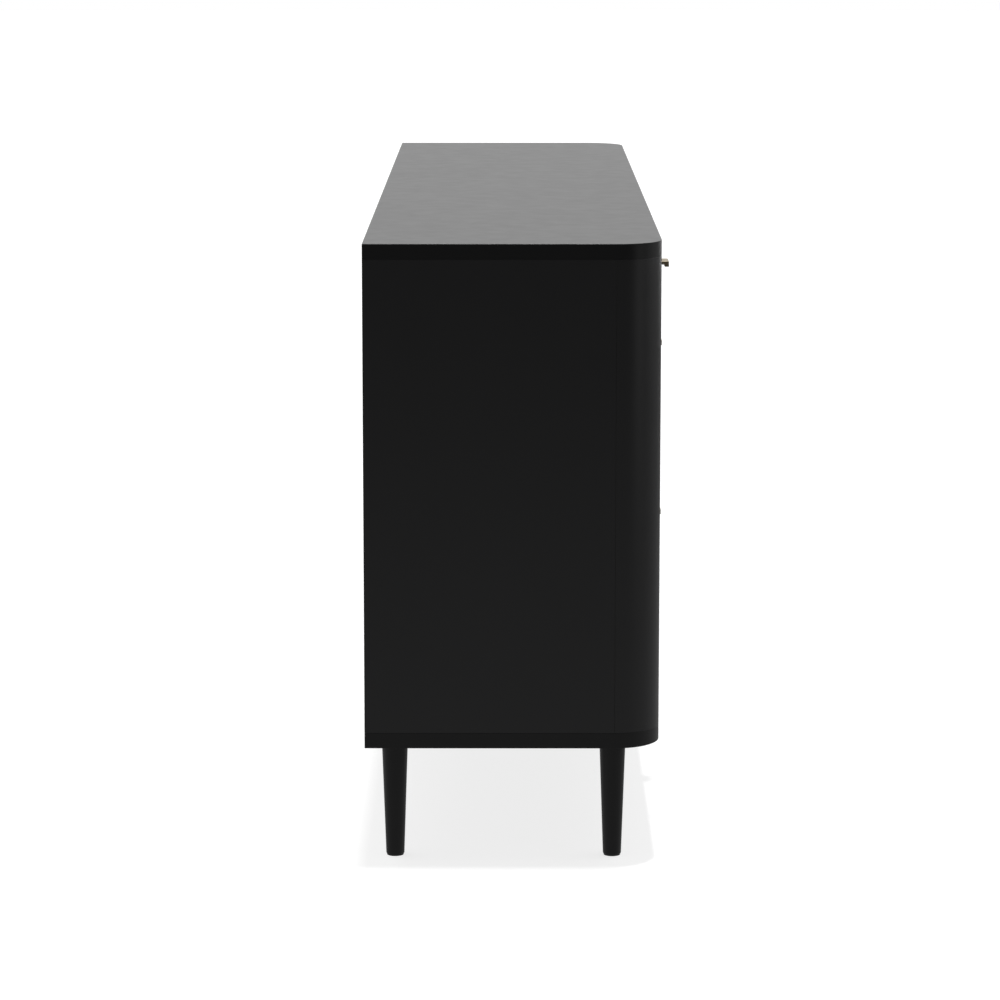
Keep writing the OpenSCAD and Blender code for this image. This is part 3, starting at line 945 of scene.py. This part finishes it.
class DRESSER_OT_bumpers(bpy.types.Operator):
    """Stick two rubber dots behind each front, where it meets a shelf or the divider"""

    bl_idname = "dresser.bumpers"
    bl_label = "Bumpers"

    def execute(self, context):
        radius = 3 * MM
        dome = 0.95 * MM
        inset = 60 * MM
        shelf_low, shelf_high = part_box("dust_shelves")
        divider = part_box("centre_divider")[1].x
        round_top = [(radius * math.cos(math.radians(a)), dome * (0.35 + 0.65 * math.sin(math.radians(a))))
                     for a in (0, 20, 40, 60, 78)]
        dot = mesh_from(lathe([(0, 0), (radius, 0), *round_top, (0, dome)]), "bumper")
        for drawer in DRAWERS:
            low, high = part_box(drawer + "_front")
            along = (low.x + inset, high.x - inset)
            if low.z < shelf_high.z < high.z:
                places = [(x, high.y, (low.z + shelf_high.z) / 2) for x in along]
            elif low.z < shelf_low.z < high.z:
                places = [(x, high.y, (high.z + shelf_low.z) / 2) for x in along]
            else:
                inner = min(abs(low.x), abs(high.x))
                x = side_of(drawer) * (inner + divider) / 2
                places = [(x, high.y, z) for z in (low.z + inset, high.z - inset)]
            bm = bmesh.new()
            stamp(bm, dot, turned_apart(places, BACKWARD))
            piece_from(bm, drawer + "_bumpers", "glide_plastic", drawer)
        return {"FINISHED"}


# ---------------------------------------------------------------- stage


def area_light(name, place, target, width, height, power):
    """A softbox at a place, turned to a target; metres and watts."""
    light = bpy.data.lights.new(name, "AREA")
    light.shape = "RECTANGLE"
    light.size = width
    light.size_y = height
    light.energy = power
    lamp = new_object(name, light)
    lamp.location = place
    lamp.rotation_euler = (Vector(target) - Vector(place)).to_track_quat("-Z", "Y").to_euler()


class DRESSER_OT_stage(bpy.types.Operator):
    """Set up the floor, the studio light and the camera"""

    bl_idname = "dresser.stage"
    bl_label = "Stage"

    def execute(self, context):
        scene = context.scene
        stage = scene.dresser_stage
        low, high = CAD_BOX
        middle = (low + high) / 2
        scene.view_settings.view_transform = "Standard"
        self.make_camera(stage)
        self.make_floor(stage)
        self.make_world()
        self.make_sun()
        near_post = (low.x, low.y, middle.z)
        area_light("front_fill", (0.2, -3.6, 1.6), middle, 3.0, 1.6, 11)
        area_light("corner_fill", (-2.1, -2.3, 0.9), near_post, 1.0, 1.4, 1.6)
        area_light("edge_strip", (3.4, -2.5, 1.1), near_post, 0.7, 1.6, 8)
        area_light("rear_fill", (0.4, 3.4, 1.8), middle, 2.6, 1.4, 5)
        return {"FINISHED"}

    def make_camera(self, stage):
        """Looks along the dresser from beyond its left end, a little above the top."""
        camera_data = bpy.data.cameras.new("camera")
        camera_data.sensor_width = 36
        camera_data.lens = stage.lens
        camera_data.shift_y = -0.1
        camera = new_object("camera", camera_data)
        camera.location = (-5.4755, 0.0149, 1.3295)
        down = math.radians(8.534)
        turn = math.radians(0.14)
        level = math.cos(down)
        look = Vector((math.cos(turn) * level, math.sin(turn) * level, -math.sin(down)))
        camera.rotation_euler = look.to_track_quat("-Z", "Y").to_euler()
        bpy.context.scene.camera = camera

    def make_sun(self):
        """Overhead light, a degree or so off the vertical, which puts the shadow under the case."""
        sun_data = bpy.data.lights.new("overhead_sun", "SUN")
        sun_data.energy = 2.2
        sun_data.angle = math.radians(3)
        sun = new_object("overhead_sun", sun_data)
        to_rear = math.radians(1.2)
        to_left = math.radians(1.0)
        sun.rotation_euler = (to_rear, to_left, 0)

    def make_floor(self, stage):
        """Pale to the camera, with the shadow; to reflections, a pool of light that fades out."""
        pool_middle = (-1.2, 0.5, 0)
        pool_r = 0.5
        fade_r = 6.0
        pool_strength = 0.34
        far_strength = 0.1
        bm = bmesh.new()
        bmesh.ops.create_circle(bm, cap_ends=True, segments=96, radius=30)
        mesh = mesh_from(bm, "studio_floor")
        floor = new_object("studio_floor", mesh)
        material = bpy.data.materials.new("studio_floor")
        material.use_nodes = True
        tree = material.node_tree
        tree.nodes.clear()
        seen = add(tree, "ShaderNodeLightPath").outputs["Is Camera Ray"]
        lit = add(tree, "ShaderNodeBsdfDiffuse", {"Color": stage.floor})
        own = add(tree, "ShaderNodeEmission", {"Strength": stage.floor_glow})
        pale = add(tree, "ShaderNodeAddShader", {0: lit, 1: own})
        place = add(tree, "ShaderNodeTexCoord").outputs["Object"]
        far = add(tree, "ShaderNodeVectorMath", {0: place, 1: pool_middle}, operation="DISTANCE")
        pool = add(tree, "ShaderNodeMapRange", {
            "Value": far.outputs["Value"], "From Min": pool_r, "From Max": fade_r,
            "To Min": pool_strength, "To Max": far_strength,
        }, interpolation_type="SMOOTHSTEP")
        reflected = add(tree, "ShaderNodeEmission", {"Strength": pool})
        shown = add(tree, "ShaderNodeMixShader", {0: seen, 1: reflected, 2: pale})
        add(tree, "ShaderNodeOutputMaterial", {"Surface": shown})
        mesh.materials.append(material)

    def make_world(self):
        """White to the camera; to everything else, dim studio walls, bright beyond the right end.

        A black flag beside the camera keeps the near part of the corner post dark.
        """
        bright_wall = Vector((1, 0.15, 0)).normalized()
        black_flag = Vector((-0.8, -0.6, 0))
        dim = 0.1
        bright = 1.0
        flagged = 0.4
        world = bpy.data.worlds.new("studio")
        bpy.context.scene.world = world
        world.use_nodes = True
        tree = world.node_tree
        tree.nodes.clear()
        way = add(tree, "ShaderNodeTexCoord").outputs["Generated"]
        towards = add(tree, "ShaderNodeVectorMath", {0: way, 1: bright_wall}, operation="DOT_PRODUCT")
        walls = add(tree, "ShaderNodeMapRange", {
            "Value": towards.outputs["Value"], "From Min": -1.0, "From Max": 1.0,
            "To Min": dim, "To Max": bright,
        }, interpolation_type="SMOOTHSTEP")
        beside = add(tree, "ShaderNodeVectorMath", {0: way, 1: black_flag}, operation="DOT_PRODUCT")
        shade = add(tree, "ShaderNodeMapRange", {
            "Value": beside.outputs["Value"], "From Min": 0.5, "From Max": 1.0,
            "To Min": 1.0, "To Max": flagged,
        }, interpolation_type="SMOOTHSTEP")
        room = add(tree, "ShaderNodeMath", {0: walls, 1: shade}, operation="MULTIPLY")
        seen = add(tree, "ShaderNodeLightPath").outputs["Is Camera Ray"]
        strength = add(tree, "ShaderNodeMix", {"Factor": seen, "A": room, "B": 1.0}, data_type="FLOAT")
        light = add(tree, "ShaderNodeBackground", {"Color": (1, 1, 1), "Strength": strength})
        add(tree, "ShaderNodeOutputWorld", {"Surface": light})


OPERATORS = (
    DRESSER_OT_case, DRESSER_OT_legs, DRESSER_OT_drawers, DRESSER_OT_back_screws,
    DRESSER_OT_pull_screws, DRESSER_OT_front_screws, DRESSER_OT_slide_screws,
    DRESSER_OT_slide_stops, DRESSER_OT_slide_levers, DRESSER_OT_bumpers, DRESSER_OT_stage,
)


class DRESSER_PT_panel(bpy.types.Panel):
    """Lists the settings and the steps"""

    bl_idname = "DRESSER_PT_panel"
    bl_label = "Dresser"
    bl_space_type = "VIEW_3D"
    bl_region_type = "UI"
    bl_category = "Dresser"

    def draw(self, context):
        scene = context.scene
        for group in (scene.dresser_finish, scene.dresser_sizes, scene.dresser_stage):
            box = self.layout.box()
            for name in group.__annotations__:
                box.prop(group, name)
        for operator in OPERATORS:
            self.layout.operator(operator.bl_idname)


CLASSES = (DresserFinish, DresserSizes, DresserStage, *OPERATORS, DRESSER_PT_panel)


def register():
    for item in CLASSES:
        bpy.utils.register_class(item)
    bpy.types.Scene.dresser_finish = PointerProperty(type=DresserFinish)
    bpy.types.Scene.dresser_sizes = PointerProperty(type=DresserSizes)
    bpy.types.Scene.dresser_stage = PointerProperty(type=DresserStage)


def unregister():
    del bpy.types.Scene.dresser_finish
    del bpy.types.Scene.dresser_sizes
    del bpy.types.Scene.dresser_stage
    for item in reversed(CLASSES):
        bpy.utils.unregister_class(item)


def main():
    register()
    for operator in OPERATORS:
        group, name = operator.bl_idname.split(".")
        getattr(getattr(bpy.ops, group), name)()


if __name__ == "__main__":
    main()
